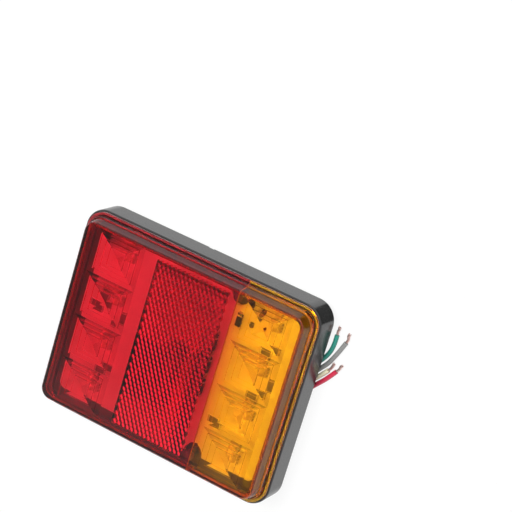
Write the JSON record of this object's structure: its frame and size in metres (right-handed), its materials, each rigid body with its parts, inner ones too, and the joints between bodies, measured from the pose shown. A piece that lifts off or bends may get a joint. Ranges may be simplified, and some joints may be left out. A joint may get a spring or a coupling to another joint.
{
  "type": "trailer tail light",
  "caption": "Rectangular LED trailer tail light with a red stop, tail and reflector section, an amber indicator section and a bare-ended wire pigtail.",
  "frame": {"origin": "under the middle of the lamp, on the plane of its rear feet", "axes": "+X along the lamp to its amber end, +Y across it, +Z out of the lens"},
  "size_m": [0.1369, 0.1, 0.0255],
  "materials": {
    "housing_plastic": "satin moulded black",
    "black_rubber": "matte",
    "red_lens": "clear red acrylic, polished",
    "amber_lens": "clear amber acrylic, polished",
    "white_board": "satin white solder mask",
    "led_body": "satin",
    "black_epoxy": "satin",
    "zinc_steel": "bright zinc",
    "insert_brass": "satin",
    "bare_copper": "bare stranded copper",
    "green_sheath": "satin",
    "grey_sheath": "satin",
    "cream_sheath": "satin",
    "red_sheath": "satin"
  },
  "bodies": {
    "root": {"housing": "housing_plastic", "lens_seal": "black_rubber", "red_lens": "red_lens", "amber_lens": "amber_lens", "circuit_board": "white_board", "red_led_1": "led_body", "red_led_2": "led_body", "red_led_3": "led_body", "red_led_4": "led_body", "amber_led_1": "led_body", "amber_led_2": "led_body", "amber_led_3": "led_body", "amber_led_4": "led_body", "tail_diode": "black_epoxy", "stop_diode": "black_epoxy", "indicator_diode": "black_epoxy", "amber_resistor_1": "black_epoxy", "amber_resistor_2": "black_epoxy", "amber_resistor_3": "black_epoxy", "amber_resistor_4": "black_epoxy", "red_resistor_1": "black_epoxy", "red_resistor_2": "black_epoxy", "red_resistor_3": "black_epoxy", "supply_diode": "black_epoxy", "board_screw_1": "zinc_steel", "board_screw_2": "zinc_steel", "left_insert": "insert_brass", "right_insert": "insert_brass", "cable_grommet": "black_rubber", "cable_sealant": "black_epoxy", "green_wire": "green_sheath", "green_conductor": "bare_copper", "green_lead": "green_sheath", "grey_wire": "grey_sheath", "grey_conductor": "bare_copper", "grey_lead": "grey_sheath", "cream_wire": "cream_sheath", "cream_conductor": "bare_copper", "cream_lead": "cream_sheath", "red_wire": "red_sheath", "red_conductor": "bare_copper", "red_lead": "red_sheath"}
  },
  "joints": []
}
